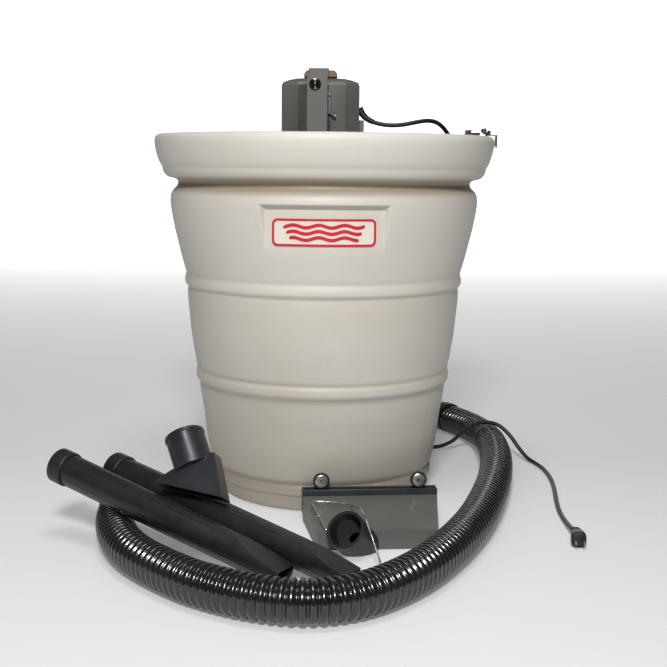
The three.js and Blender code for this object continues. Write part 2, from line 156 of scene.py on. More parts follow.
def lathe(name, prof, seg=48, origin=(0, 0, 0), axis=(0, 0, 1), closed=None, sharp=35):
    """prof in mm: [r, h]; on the axis at both ends, or a closed ring."""
    B = basis(axis)
    onaxis = prof[0][0] == 0 and prof[-1][0] == 0
    pts = prof[1:-1] if onaxis else prof
    V, F = [], []
    o = Vector(origin) * MM
    for r, h in pts:
        for j in range(seg):
            a = 2 * math.pi * j / seg
            V.append(o + B @ (Vector((r * math.cos(a), r * math.sin(a), h)) * MM))
    F = grid_faces(len(pts), seg, wrap_r=not onaxis)
    if onaxis:
        V.append(o + B @ (Vector((0, 0, prof[0][1])) * MM))
        V.append(o + B @ (Vector((0, 0, prof[-1][1])) * MM))
        n0, n1, L = len(V) - 2, len(V) - 1, (len(pts) - 1) * seg
        F += [(n0, (j + 1) % seg, j) for j in range(seg)]
        F += [(n1, L + j, L + (j + 1) % seg) for j in range(seg)]
    return mesh_obj(name, V, F, sharp=sharp)


def chaikin(p, n=1, keep_ends=True):
    p = [np.array(q, float) for q in p]
    for _ in range(n):
        q = [p[0]]
        for a, b in zip(p[:-1], p[1:]):
            q += [a * 0.75 + b * 0.25, a * 0.25 + b * 0.75]
        q.append(p[-1])
        p = q
    return p


def catmull(points, step):
    """centripetal Catmull-Rom through the points, resampled evenly."""
    P = [np.array(p, float) for p in points]
    P = [2 * P[0] - P[1]] + P + [2 * P[-1] - P[-2]]
    out = []
    for i in range(1, len(P) - 2):
        p0, p1, p2, p3 = P[i - 1:i + 3]
        t0 = 0.0
        t1 = t0 + np.linalg.norm(p1 - p0) ** 0.5
        t2 = t1 + np.linalg.norm(p2 - p1) ** 0.5
        t3 = t2 + np.linalg.norm(p3 - p2) ** 0.5
        for t in np.linspace(t1, t2, 24, endpoint=False):
            a1 = (t1 - t) / (t1 - t0) * p0 + (t - t0) / (t1 - t0) * p1
            a2 = (t2 - t) / (t2 - t1) * p1 + (t - t1) / (t2 - t1) * p2
            a3 = (t3 - t) / (t3 - t2) * p2 + (t - t2) / (t3 - t2) * p3
            b1 = (t2 - t) / (t2 - t0) * a1 + (t - t0) / (t2 - t0) * a2
            b2 = (t3 - t) / (t3 - t1) * a2 + (t - t1) / (t3 - t1) * a3
            out.append((t2 - t) / (t2 - t1) * b1 + (t - t1) / (t2 - t1) * b2)
    out.append(P[-2])
    out = np.array(out)
    s = np.concatenate([[0], np.cumsum(np.linalg.norm(np.diff(out, axis=0), axis=1))])
    n = max(2, int(round(s[-1] / step)) + 1)
    u = np.linspace(0, s[-1], n)
    return np.stack([np.interp(u, s, out[:, k]) for k in range(3)], 1), s[-1]


def frames(path):
    T = np.gradient(path, axis=0)
    T /= np.linalg.norm(T, axis=1)[:, None]
    n = np.cross(T[0], [0, 0, 1.0])
    if np.linalg.norm(n) < 1e-3:
        n = np.cross(T[0], [0, 1.0, 0])
    n /= np.linalg.norm(n)
    N = [n]
    for i in range(1, len(T)):
        n = N[-1] - T[i] * np.dot(N[-1], T[i])
        N.append(n / np.linalg.norm(n))
    N = np.array(N)
    return T, N, np.cross(T, N)


def sweep(name, path, radii, seg=16, sharp=None):
    """tube in mm along path with one radius per point, ends closed."""
    T, N, Bn = frames(path)
    a = np.linspace(0, 2 * math.pi, seg, endpoint=False)
    V = (path[:, None, :] + radii[:, None, None] * (np.cos(a)[None, :, None] * N[:, None, :] + np.sin(a)[None, :, None] * Bn[:, None, :])) * MM
    V = V.reshape(-1, 3)
    F = grid_faces(len(path), seg)
    V = np.vstack([V, path[0] * MM, path[-1] * MM])
    c0, c1, L = len(V) - 2, len(V) - 1, (len(path) - 1) * seg
    F += [(c0, (j + 1) % seg, j) for j in range(seg)]
    F += [(c1, L + j, L + (j + 1) % seg) for j in range(seg)]
    return mesh_obj(name, V, F, sharp=sharp)


# ------------------------------------------------------------------ materials
def material(name, color, color2=None, rough=0.5, rough2=None, metal=0.0, var=12.0, bump=0.0, bump_scale=300.0, bump_dist=0.0004,
             coat=0.0, stretch=None, spec=0.5, grime=0.0, detail=4.0, edge=0.0):
    m = bpy.data.materials.new(name)
    m.use_nodes = True
    nt = m.node_tree
    b = nt.nodes["Principled BSDF"]
    b.inputs["Metallic"].default_value = metal
    b.inputs["Roughness"].default_value = rough
    b.inputs["Specular IOR Level"].default_value = spec
    b.inputs["Coat Weight"].default_value = coat
    b.inputs["Coat Roughness"].default_value = 0.15
    tc = nt.nodes.new("ShaderNodeTexCoord")
    src = tc.outputs["Object"]
    if stretch:
        mp = nt.nodes.new("ShaderNodeMapping")
        mp.inputs["Scale"].default_value = stretch
        nt.links.new(src, mp.inputs[0])
        src = mp.outputs[0]
    if color2 is None:
        color2 = tuple(c * 0.8 for c in color)
    n = nt.nodes.new("ShaderNodeTexNoise")
    n.inputs["Scale"].default_value = var
    n.inputs["Detail"].default_value = detail
    n.inputs["Roughness"].default_value = 0.6
    nt.links.new(src, n.inputs["Vector"])
    r = nt.nodes.new("ShaderNodeValToRGB")
    r.color_ramp.elements[0].position = 0.32
    r.color_ramp.elements[0].color = (*color2, 1)
    r.color_ramp.elements[1].position = 0.66
    r.color_ramp.elements[1].color = (*color, 1)
    nt.links.new(n.outputs["Fac"], r.inputs[0])
    colour = r.outputs[0]
    if grime > 0:   # fine specks and handling marks
        g = nt.nodes.new("ShaderNodeTexNoise")
        g.inputs["Scale"].default_value = 46.0
        g.inputs["Detail"].default_value = 8.0
        g.inputs["Roughness"].default_value = 0.75
        nt.links.new(tc.outputs["Object"], g.inputs["Vector"])
        gr = nt.nodes.new("ShaderNodeValToRGB")
        gr.color_ramp.elements[0].position = 0.60
        gr.color_ramp.elements[0].color = (0, 0, 0, 1)
        gr.color_ramp.elements[1].position = 0.78
        gr.color_ramp.elements[1].color = (grime, grime, grime, 1)
        nt.links.new(g.outputs["Fac"], gr.inputs[0])
        mx = nt.nodes.new("ShaderNodeMixRGB")
        mx.blend_type = "MULTIPLY"
        mx.inputs[2].default_value = (0.62, 0.54, 0.44, 1)
        nt.links.new(gr.outputs[0], mx.inputs[0])
        nt.links.new(colour, mx.inputs[1])
        colour = mx.outputs[0]
    nt.links.new(colour, b.inputs["Base Color"])
    if rough2 is not None:
        mr = nt.nodes.new("ShaderNodeMapRange")
        mr.inputs["From Min"].default_value = 0.3
        mr.inputs["From Max"].default_value = 0.7
        mr.inputs["To Min"].default_value = rough
        mr.inputs["To Max"].default_value = rough2
        nt.links.new(n.outputs["Fac"], mr.inputs["Value"])
        nt.links.new(mr.outputs[0], b.inputs["Roughness"])
    if bump > 0:
        k = nt.nodes.new("ShaderNodeTexNoise")
        k.inputs["Scale"].default_value = bump_scale
        k.inputs["Detail"].default_value = 2.0
        nt.links.new(src, k.inputs["Vector"])
        bp = nt.nodes.new("ShaderNodeBump")
        bp.inputs["Strength"].default_value = bump
        bp.inputs["Distance"].default_value = bump_dist
        nt.links.new(k.outputs["Fac"], bp.inputs["Height"])
        nt.links.new(bp.outputs[0], b.inputs["Normal"])
    return m


MAT = {
    "tank": material("tank_plastic", (0.625, 0.597, 0.55), (0.59, 0.557, 0.50), 0.46, 0.56, var=5.0, bump=0.30, bump_scale=210.0, bump_dist=0.0006, grime=0.25),
    "badge": material("badge_white", (0.72, 0.69, 0.62), (0.68, 0.65, 0.57), 0.35, 0.42, var=30.0, bump=0.1, bump_scale=900.0),
    "badge_red": material("badge_red", (0.58, 0.012, 0.025), (0.50, 0.01, 0.02), 0.35, 0.45, var=60.0, bump=0.1, bump_scale=900.0),
    "rubber": material("rubber_black", (0.018, 0.018, 0.018), (0.012, 0.012, 0.012), 0.7, 0.8, var=40.0, bump=0.3, bump_scale=700.0),
    "lid_plastic": material("lid_plastic", (0.028, 0.028, 0.030), (0.02, 0.02, 0.022), 0.42, 0.55, var=9.0, bump=0.35, bump_scale=320.0, bump_dist=0.0005),
    "black_plastic": material("black_plastic", (0.016, 0.016, 0.018), (0.011, 0.011, 0.012), 0.36, 0.48, var=25.0, bump=0.2, bump_scale=480.0),
    "zinc": material("zinc_screw", (0.40, 0.46, 0.54), (0.30, 0.35, 0.42), 0.35, 0.5, metal=1.0, var=220.0),
    "blower_steel": material("blower_steel", (0.42, 0.42, 0.43), (0.34, 0.34, 0.35), 0.3, 0.45, metal=1.0, var=60.0, bump=0.1),
    "alloy": material("cast_alloy", (0.55, 0.56, 0.57), (0.46, 0.47, 0.48), 0.42, 0.55, metal=1.0, var=80.0, bump=0.25, bump_scale=600.0),
    "iron": material("laminated_iron", (0.18, 0.18, 0.19), (0.10, 0.09, 0.085), 0.5, 0.6, metal=1.0, var=20.0, stretch=(1, 1, 30)),
    "brass": material("brass", (0.60, 0.42, 0.16), (0.48, 0.33, 0.12), 0.28, 0.4, metal=1.0, var=120.0),
    "head_plastic": material("head_paint", (0.112, 0.114, 0.102), (0.095, 0.097, 0.086), 0.44, 0.54, var=16.0, bump=0.35, bump_scale=420.0, bump_dist=0.0005, grime=0.2),
    "brown_cap": material("brown_cap", (0.20, 0.115, 0.07), (0.13, 0.075, 0.045), 0.6, 0.75, var=70.0, bump=0.5, bump_scale=500.0),
    "chrome": material("chrome", (0.72, 0.73, 0.75), (0.62, 0.63, 0.65), 0.10, 0.2, metal=1.0, var=90.0),
    "gloss_black": material("gloss_black", (0.007, 0.007, 0.008), (0.005, 0.005, 0.006), 0.08, 0.14, var=50.0, coat=0.5),
    "switch_steel": material("switch_steel", (0.06, 0.06, 0.062), (0.045, 0.045, 0.047), 0.35, 0.5, metal=0.6, var=100.0),
    "lead_rubber": material("lead_rubber", (0.012, 0.012, 0.013), (0.008, 0.008, 0.008), 0.38, 0.5, var=60.0, bump=0.15, bump_scale=900.0),
    "copper": material("copper", (0.55, 0.24, 0.12), (0.40, 0.17, 0.08), 0.3, 0.45, metal=1.0, var=150.0, stretch=(1, 1, 0.2)),
    "float_plastic": material("float_plastic", (0.66, 0.63, 0.55), (0.60, 0.57, 0.50), 0.4, 0.5, var=20.0, bump=0.2),
    "filter_paper": material("filter_paper", (0.74, 0.69, 0.55), (0.62, 0.55, 0.42), 0.8, 0.9, var=35.0, bump=0.5, bump_scale=700.0),
    "lever_black": material("lever_black", (0.012, 0.012, 0.012), (0.02, 0.02, 0.02), 0.25, 0.4, var=80.0),
    "hose_plastic": material("hose_plastic", (0.0085, 0.0085, 0.010), (0.006, 0.006, 0.007), 0.15, 0.26, var=14.0, bump=0.10, bump_scale=500.0, coat=0.35, spec=0.7),
    "wand_plastic": material("wand_plastic", (0.0145, 0.014, 0.0155), (0.0095, 0.009, 0.010), 0.36, 0.5, var=22.0, bump=0.22, bump_scale=420.0, bump_dist=0.0004),
    "nozzle_grey": material("nozzle_grey", (0.105, 0.113, 0.100), (0.085, 0.092, 0.082), 0.42, 0.55, var=18.0, bump=0.3, bump_scale=420.0, grime=0.3),
    "channel_metal": material("channel_metal", (0.060, 0.064, 0.072), (0.045, 0.048, 0.055), 0.34, 0.48, metal=0.5, var=40.0, stretch=(1, 4, 4)),
    "caster": material("caster_chrome", (0.86, 0.87, 0.88), (0.72, 0.73, 0.75), 0.26, 0.36, metal=1.0, var=120.0),
    "wire": material("bright_wire", (0.62, 0.60, 0.55), (0.48, 0.45, 0.40), 0.2, 0.34, metal=1.0, var=160.0),
    "fan_nozzle": material("fan_nozzle_plastic", (0.020, 0.021, 0.027), (0.013, 0.014, 0.018), 0.30, 0.42, var=20.0, bump=0.15, bump_scale=420.0),
}


def paint_groove_shade(m, height, stops):
    """Painted shade: darker bands in the grooves and darker low on the wall, a colour ramp by height up the tank in
    metres.
    """
    nt = m.node_tree
    b = nt.nodes["Principled BSDF"]
    old = b.inputs["Base Color"].links[0].from_socket
    tc, sp = nt.nodes.new("ShaderNodeTexCoord"), nt.nodes.new("ShaderNodeSeparateXYZ")
    wob, mad, mr = nt.nodes.new("ShaderNodeTexNoise"), nt.nodes.new("ShaderNodeMath"), nt.nodes.new("ShaderNodeMapRange")
    wob.inputs["Scale"].default_value = 9.0
    wob.inputs["Detail"].default_value = 6.0
    nt.links.new(tc.outputs["Object"], sp.inputs[0])
    nt.links.new(tc.outputs["Object"], wob.inputs["Vector"])
    mad.operation = "MULTIPLY_ADD"
    mad.inputs[1].default_value = 0.004
    nt.links.new(wob.outputs["Fac"], mad.inputs[0])
    nt.links.new(sp.outputs["Z"], mad.inputs[2])
    mr.inputs["From Min"].default_value = 0.002
    mr.inputs["From Max"].default_value = height + 0.002
    nt.links.new(mad.outputs[0], mr.inputs["Value"])
    rp = nt.nodes.new("ShaderNodeValToRGB")
    el = rp.color_ramp.elements
    while len(el) > 1:
        el.remove(el[-1])
    for i, (z, c) in enumerate(stops):
        e = el[0] if i == 0 else el.new(z / height)
        e.position = z / height
        e.color = (*c, 1)
    nt.links.new(mr.outputs[0], rp.inputs[0])
    mx = nt.nodes.new("ShaderNodeMixRGB")
    mx.blend_type = "MULTIPLY"
    mx.inputs[0].default_value = 1.0
    nt.links.new(old, mx.inputs[1])
    nt.links.new(rp.outputs[0], mx.inputs[2])
    nt.links.new(mx.outputs[0], b.inputs["Base Color"])


# painted shade on the tank: dark bands at the grooves, darker towards the bottom
paint_groove_shade(MAT["tank"], 0.66, [
    (0.0, (0.60, 0.57, 0.51)), (0.030, (0.62, 0.59, 0.54)), (0.050, (0.50, 0.46, 0.40)), (0.062, (0.74, 0.72, 0.68)), (0.120, (0.86, 0.85, 0.82)), (0.190, (0.95, 0.94, 0.93)),
    (0.201, (0.80, 0.77, 0.72)), (0.210, (0.97, 0.965, 0.955)), (0.2318, (0.86, 0.84, 0.80)), (0.241, (0.98, 0.98, 0.975)), (0.3796, (0.90, 0.885, 0.86)), (0.389, (1, 1, 1)),
    (0.4046, (0.92, 0.90, 0.88)), (0.415, (1, 1, 1)), (0.549, (0.98, 0.975, 0.965)), (0.560, (0.62, 0.56, 0.47)), (0.5676, (0.40, 0.34, 0.26)), (0.575, (0.66, 0.60, 0.51)),
    (0.584, (0.97, 0.965, 0.955)), (0.593, (0.92, 0.91, 0.885)), (0.602, (1, 1, 1))])


def dress(o, mat, node=None, body=None, replaces=(), slot=None):
    o.data.materials.clear()
    o.data.materials.append(MAT[mat])
    if node:
        replaces = replaces or (node,)
        body = body or BODY[node]
        slot = slot or SLOT[node]
    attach(o, body)
    if replaces:
        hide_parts(*replaces)
    return o


def refine(node, width=0.8, angle=30, segs=2, mat=None, name=None):
    """A bevelled copy of a CAD node's own shape."""
    src = frame["nodes"][node]
    bm = bmesh.new()
    bm.from_mesh(src.data)
    bmesh.ops.remove_doubles(bm, verts=bm.verts, dist=2e-5)
    bmesh.ops.dissolve_limit(bm, angle_limit=math.radians(1.0), verts=bm.verts, edges=bm.edges)
    me = bpy.data.meshes.new(name or node + "_fine")
    bm.to_mesh(me)
    bm.free()
    me.shade_smooth()
    me.set_sharp_from_angle(angle=math.radians(angle + 8))
    o = link(bpy.data.objects.new(name or node + "_fine", me))
    o.matrix_world = src.matrix_world.copy()
    if width:
        b = o.modifiers.new("bevel", "BEVEL")
        b.limit_method = "ANGLE"
        b.angle_limit = math.radians(angle)
        b.width = width * MM
        b.segments = segs
        b.use_clamp_overlap = True
        b.harden_normals = False
    return dress(o, mat or SLOT[node], node)


# ------------------------------------------------------------------ floor
floor = mesh_obj("floor", [(-14, -14, 0), (14, -14, 0), (14, 6, 0), (-14, 6, 0)], [(0, 1, 2, 3)], smooth=False)
fm = material("glowing_floor_paper", (0.66, 0.66, 0.655), (0.645, 0.645, 0.64), 0.85, 0.9, var=0.8)
# painted light: the floor glows, more strongly further back along Y
fm.node_tree.nodes["Principled BSDF"].inputs["Emission Color"].default_value = (1.0, 1.0, 0.99, 1)
ft = fm.node_tree
fc, fs, fr_ = ft.nodes.new("ShaderNodeTexCoord"), ft.nodes.new("ShaderNodeSeparateXYZ"), ft.nodes.new("ShaderNodeMapRange")
fr_.inputs["From Min"].default_value = 0.2
fr_.inputs["From Max"].default_value = 4.5
fr_.inputs["To Min"].default_value = 0.15
fr_.inputs["To Max"].default_value = 0.74
ft.links.new(fc.outputs["Object"], fs.inputs[0])
ft.links.new(fs.outputs["Y"], fr_.inputs["Value"])
ft.links.new(fr_.outputs[0], ft.nodes["Principled BSDF"].inputs["Emission Strength"])
floor.data.materials.append(fm)
floor.location.z = -0.0005
back = mesh_obj("backdrop", [(-2.9, 6, -0.0005), (2.9, 6, -0.0005), (2.9, 6, 2.3), (-2.9, 6, 2.3)], [(0, 1, 2, 3)], smooth=False)
bk = material("backdrop_paper", (0.8, 0.8, 0.8), (0.78, 0.78, 0.78), 0.9, 0.9, var=0.8)
bk.node_tree.nodes["Principled BSDF"].inputs["Emission Color"].default_value = (1.0, 1.0, 0.99, 1)
bk.node_tree.nodes["Principled BSDF"].inputs["Emission Strength"].default_value = 0.95
back.data.materials.append(bk)

# ------------------------------------------------------------------ hose
HOSE_R, HOSE_Z = 31.5, 31.9
HOSE = [
    [-337, -291], [-335, -325], [-329, -362], [-318, -405], [-300, -452], [-278, -494], [-250, -533], [-217, -571], [-178, -609],
    [-139, -637], [-101, -658], [-64, -672], [-27, -679], [12, -674], [54, -654], [99, -613], [143, -556], [182, -488], [220, -408],
    [254, -320], [282, -230], [306, -140], [326, -50], [342, 45], [351, 140], [351, 225], [338, 305], [318, 362], [293, 412]]
PITCH = 12.4
hp, hlen = catmull([p + [HOSE_Z] for p in HOSE], PITCH / 10)
phase = (np.arange(len(hp)) % 10)
hr = np.choose(phase, [27.0, 27.6, 29.7, 31.0, 31.4, 31.5, 31.4, 31.0, 29.7, 27.6]).astype(float)
hr[:5] = 29.3
hr[-5:] = 29.3
hose = sweep("hose_corrugated", hp, hr, 40)
dress(hose, "hose_plastic", "hose")


def cuff(name, node, a, b):
    d = np.array([b[0] - a[0], b[1] - a[1], 0.0])
    L = float(np.linalg.norm(d))
    prof = [[26.2, 0], [30.2, 0], [32.2, 1.2], [32.9, 3], [32.9, 9], [32.2, 10.5], [32.2, 13.5], [32.9, 15], [32.9, 24], [32.3, 26.5], [31.0, 30], [30.9, L - 6],
            [30.4, L - 1.2], [29.6, L - 0.1], [27.4, L - 0.1], [26.2, L - 1.5], [25.9, L - 6]]
    o = lathe(name, prof, 56, (a[0], a[1], 33.4), d)
    dress(o, "black_plastic", node)


cuff("cuff_tank_end", "hose_cuff_tank", [-337.04, -290.3], [-342.1, -204.7])
cuff("cuff_tool_end", "hose_cuff_tool", [292.68, 412.64], [256.0, 486.0])

# ------------------------------------------------------------------ mains lead
CORD_Z = 4.1
CORD = [
    [84.5, 0, 682.5], [93, 0, 679.5], [107, 0.5, 676.3], [121, 1.5, 675.2], [135, 3, 675.6], [148, 5, 677.2], [162, 8, 680], [176, 12, 682.8],
    [191, 18, 684.6], [206, 26, 682.5], [219, 36, 675], [230, 49, 664], [238, 66, 655], [241, 88, 650], [236, 115, 648.6], [224, 144, 648.4],
    [208, 172, 648.6], [190, 199, 650], [175, 223, 654.5], [167, 243, 659.5], [165, 258, 661.2], [166, 270, 657], [168, 277, 645], [169, 279.5, 620],
    [169, 280, 560], [169, 280, 480], [169, 280, 400], [169, 280, 300], [170, 280, 200], [172, 280, 110], [178, 278, 50], [194, 273, 16],
    [222, 264, CORD_Z + 0.4], [250, 254, 7], [276, 245, 20], [300, 237, 44], [322, 229, 62], [346, 219, 69.5], [370, 207, 66], [392, 193, 48], [410, 178, 24],
    [425, 160, 8], [436, 136, CORD_Z + 0.3], [443, 105, CORD_Z], [446, 60, CORD_Z], [444, 5, CORD_Z], [437, -55, CORD_Z], [428, -115, CORD_Z], [421, -170, CORD_Z],
    [418, -215, CORD_Z], [417, -250, 6], [416.5, -285, 9], [416, -312, 12.2]]
cp, clen = catmull(CORD, 5.0)
cord = sweep("mains_lead", cp, np.full(len(cp), 4.0), 14)
cord.data.materials.append(MAT["lead_rubber"])
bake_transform(cord)
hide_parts("power_cord")

# plug: moulded body with finger ribs and a tapered relief
PL = Matrix.Translation((0.4156, -0.345, 0.0128)) @ Matrix.Rotation(-0.10, 4, "Z")


def loft(name, secs, n=40, power=3.2):
    """secs: (y, half width, half height) rounded sections along Y, in mm."""
    V = []
    for y, w, h in secs:
        for j in range(n):
            a = 2 * math.pi * j / n
            c, s = math.cos(a), math.sin(a)
            e = 2.0 / power
            V.append(PL @ Vector((math.copysign(abs(c) ** e, c) * w * MM, y * MM, math.copysign(abs(s) ** e, s) * h * MM)))
    F = grid_faces(len(secs), n)
    F.append(tuple(range(n)))
    F.append(tuple((len(secs) - 1) * n + j for j in range(n)))
    return mesh_obj(name, V, F, sharp=50)


plug = loft("plug_body", [(-22, 10.6, 10.8), (-21.2, 11.6, 11.9), (-19, 12, 12.4), (-9, 12, 12.4), (-6, 11.2, 11.4), (2, 10.4, 10.6), (6, 10.2, 10.2), (9, 9.2, 9.2),
                          (10, 8.4, 8.4), (12, 8.2, 8.2), (13, 8.8, 8.8), (15, 8.6, 8.6), (16, 7.7, 7.7), (17.5, 7.6, 7.6), (18.5, 8.1, 8.1), (20.5, 7.9, 7.9), (21.5, 7.0, 7.0), (23, 6.9, 6.9), (24, 7.3, 7.3),
                          (26, 7.0, 7.0), (27, 6.2, 6.2), (29, 6.0, 6.0), (31.8, 5.2, 5.2)])
dress(plug, "lead_rubber", "plug")
blades = [refine("plug_blade_left", 0.5), refine("plug_blade_right", 0.5)]

# tapered strain relief on the motor cover
srp, _ = catmull([[63.4, 0, 705.5], [66.5, 0, 699], [71.5, 0, 692], [78, 0, 686.4], [86.5, 0, 681.9], [90, 0.05, 680.6]], 0.8)
u = np.linspace(0, 1, len(srp))
srr = 6.6 - 2.0 * u + 0.22 * np.sin(u * 2 * math.pi * 7) * (u < 0.93)
sr = sweep("strain_relief_boot", srp, srr, 28)
dress(sr, "lead_rubber", "strain_relief")

# ------------------------------------------------------------------ tank
PANEL_R = 268.4
OUTER = [(0, 0), (150, 0), (183, 0), (188.5, 1.4), (191.3, 5), (194, 12), (198, 22), (200.6, 27), (201.3, 29.2), (203.8, 30.8), (206, 33.2), (206.5, 37), (206.5, 41), (206.2, 45), (204.6, 48.2), (203.6, 50.2),
         (204.6, 52.8), (207, 56.5), (209.6, 63), (213, 80), (217.5, 105), (220.5, 132), (222.6, 150), (225.5, 166), (227.8, 183), (229.2, 191), (229.6, 196.5), (229.4, 201), (231.2, 206), (234.2, 209.6),
         (236.2, 213.6), (236.6, 219), (236.2, 224.6), (234.4, 228.6), (233.8, 231.8), (235.6, 236), (237.6, 249), (239.5, 260), (242, 275), (245.2, 296), (247.6, 325), (249.6, 345), (250.9, 362), (251.0, 374),
         (249.9, 379.6), (251.6, 383), (254.6, 386.2), (256, 390.5), (256, 396), (254.9, 401), (253.2, 404.6), (253.8, 408.6), (256.3, 416), (260.5, 432), (264.3, 446), (268, 462), (272.5, 480), (276.5, 500),
         (279.5, 518), (281.3, 531), (281.5, 541), (280.4, 548.6), (277.4, 554.6), (272.8, 559.6), (268.6, 563.4), (267.2, 567.6), (267.4, 571.6), (269.8, 574.8), (275, 576.8), (282, 578.0), (287, 580),
         (290.8, 583.6), (293.6, 588), (294.9, 592.6), (295.6, 597), (298.4, 601.2), (301.2, 607), (304.5, 617), (307.3, 628), (308.9, 638), (308.9, 644.5), (307.8, 649.4), (305.2, 653.0), (302.4, 654.8), (299.6, 655)]
INNER = [(297.6, 653.6), (297, 650.5), (297, 642), (297, 634.6), (284.6, 634.0), (284, 633.2), (284, 622), (270, 596), (258, 578), (258, 566), (269, 550), (270, 540), (260.5, 532), (260.5, 470), (254, 437), (243.5, 372), (229, 232), (215, 140),
         (196, 36), (186, 12), (182, 8), (0, 8)]


def tank_mesh():
    out = chaikin(OUTER[1:], 2)
    out = [q for a, b in zip(out[:-1], out[1:]) for q in ([a] if not (500 < a[1] < 548 and b[1] - a[1] > 1.2) else [a + (b - a) * t for t in np.linspace(0, 1, int((b[1] - a[1]) / 0.8) + 1, endpoint=False)])] + [out[-1]]
    inn = chaikin(INNER[:5], 1) + [np.array(q, float) for q in INNER[5:-1]]
    rings = list(out) + inn
    th = list(np.arange(-27, 27, 0.25)) + list(np.arange(27, 333, 1.8))
    th = np.radians(np.array(th))
    cols = len(th)
    V = np.zeros((len(rings), cols, 3))
    nout = len(out)
    for i, (r, z) in enumerate(rings):
        x0 = r * np.sin(th)
        rr = np.full(cols, r)
        if i < nout and 452 < z < 548:
            x = PANEL_R * np.sin(th)
            front = np.cos(th) > 0
            top = PANEL_R + max(0.0, (z - 532.0)) * 2.0
            side = PANEL_R + np.maximum(0.0, np.abs(x - 1.8) - 97.5) * 2.6
            lim = np.maximum(top, side)
            d = lim - r
            k = 1.0
            s = 0.5 * (r + lim - np.sqrt((r - lim) ** 2 + k * k)) + 0.0
            rr = np.where(front & (d < 14), np.minimum(s, r), rr)
        V[i, :, 0] = rr * np.sin(th)
        V[i, :, 1] = -rr * np.cos(th)
        V[i, :, 2] = z
    V = V.reshape(-1, 3) * MM
    F = grid_faces(len(rings), cols)
    n = len(V)
    V = np.vstack([V, [[0, 0, 0]], [[0, 0, 8 * MM]]])
    L = (len(rings) - 1) * cols
    F += [(n, (j + 1) % cols, j) for j in range(cols)]
    F += [(n + 1, L + j, L + (j + 1) % cols) for j in range(cols)]
    return mesh_obj("tank_shell", V, F)


tank = tank_mesh()
dress(tank, "tank", "drum")


# badge: curved plate with a raised frame and a plain airflow mark
def curved(name, xs, lo, hi, r0, r1, nz=6, mat="badge_red"):
    """Curved patch on the panel between z=lo(x) and z=hi(x), from radius r0 to r1."""
    rows = []
    for x in xs:
        a, b = lo(x), hi(x)
        t = x / PANEL_R
        col = []
        for k in range(nz + 1):
            z = a + (b - a) * k / nz
            col.append((t, z))
        rows.append(col)
    V, F = [], []
    m = nz + 1
    for rad in (r0, r1):
        for col in rows:
            for t, z in col:
                V.append((rad * math.sin(t) * MM, -rad * math.cos(t) * MM, z * MM))
    n = len(rows) * m
    for i in range(len(rows) - 1):
        for k in range(nz):
            a = i * m + k
            F.append((a, a + 1, a + m + 1, a + m))
            F.append((n + a, n + a + m, n + a + m + 1, n + a + 1))
        F.append((i * m, (i + 1) * m, n + (i + 1) * m, n + i * m))
        F.append((i * m + nz, n + i * m + nz, n + (i + 1) * m + nz, (i + 1) * m + nz))
    for k in range(nz):
        F.append((k, n + k, n + k + 1, k + 1))
        e = (len(rows) - 1) * m
        F.append((e + k, e + k + 1, n + e + k + 1, n + e + k))
    o = mesh_obj(name, V, F, sharp=35)
    return o


def round_rect(x0, x1, z0, z1, r):
    def lo(x):
        d = max(0.0, x0 + r - x, x - (x1 - r))
        return z0 + r - math.sqrt(max(0.0, r * r - d * d)) if d > 0 else z0

    def hi(x):
        d = max(0.0, x0 + r - x, x - (x1 - r))
        return z1 - r + math.sqrt(max(0.0, r * r - d * d)) if d > 0 else z1
    ends = [r * (1 - math.cos(math.pi / 2 * k / 8)) for k in range(9)]
    xs = [x0 + e + (0.02 if e == 0 else 0) for e in ends] + list(np.linspace(x0 + r, x1 - r, 56)[1:-1]) + [x1 - e - (0.02 if e == 0 else 0) for e in reversed(ends)]
    return xs, lo, hi


def frame_ring(name, a, b, r0, r1):
    """Raised ring between two rounded rectangles a (outside) and b (inside)."""
    def loop(x0, x1, z0, z1, r, n=8):
        pts = []
        for cx, cz, s in ((x1 - r, z1 - r, 0), (x0 + r, z1 - r, 1), (x0 + r, z0 + r, 2), (x1 - r, z0 + r, 3)):
            for k in range(n + 1):
                t = math.pi / 2 * (s + k / n)
                pts.append((cx + r * math.cos(t), cz + r * math.sin(t)))
        out = []
        for i, p in enumerate(pts):
            q = pts[(i + 1) % len(pts)]
            m = 26 if abs(q[0] - p[0]) > 40 else 1
            for k in range(m):
                out.append((p[0] + (q[0] - p[0]) * k / m, p[1] + (q[1] - p[1]) * k / m))
        return out
    A, B = loop(*a), loop(*b)
    V, n = [], len(A)
    for pts, rad in ((A, r0), (A, r1), (B, r1), (B, r0)):
        for x, z in pts:
            t = x / PANEL_R
            V.append((rad * math.sin(t) * MM, -rad * math.cos(t) * MM, z * MM))
    return mesh_obj(name, V, grid_faces(4, n, wrap_r=True), sharp=35)


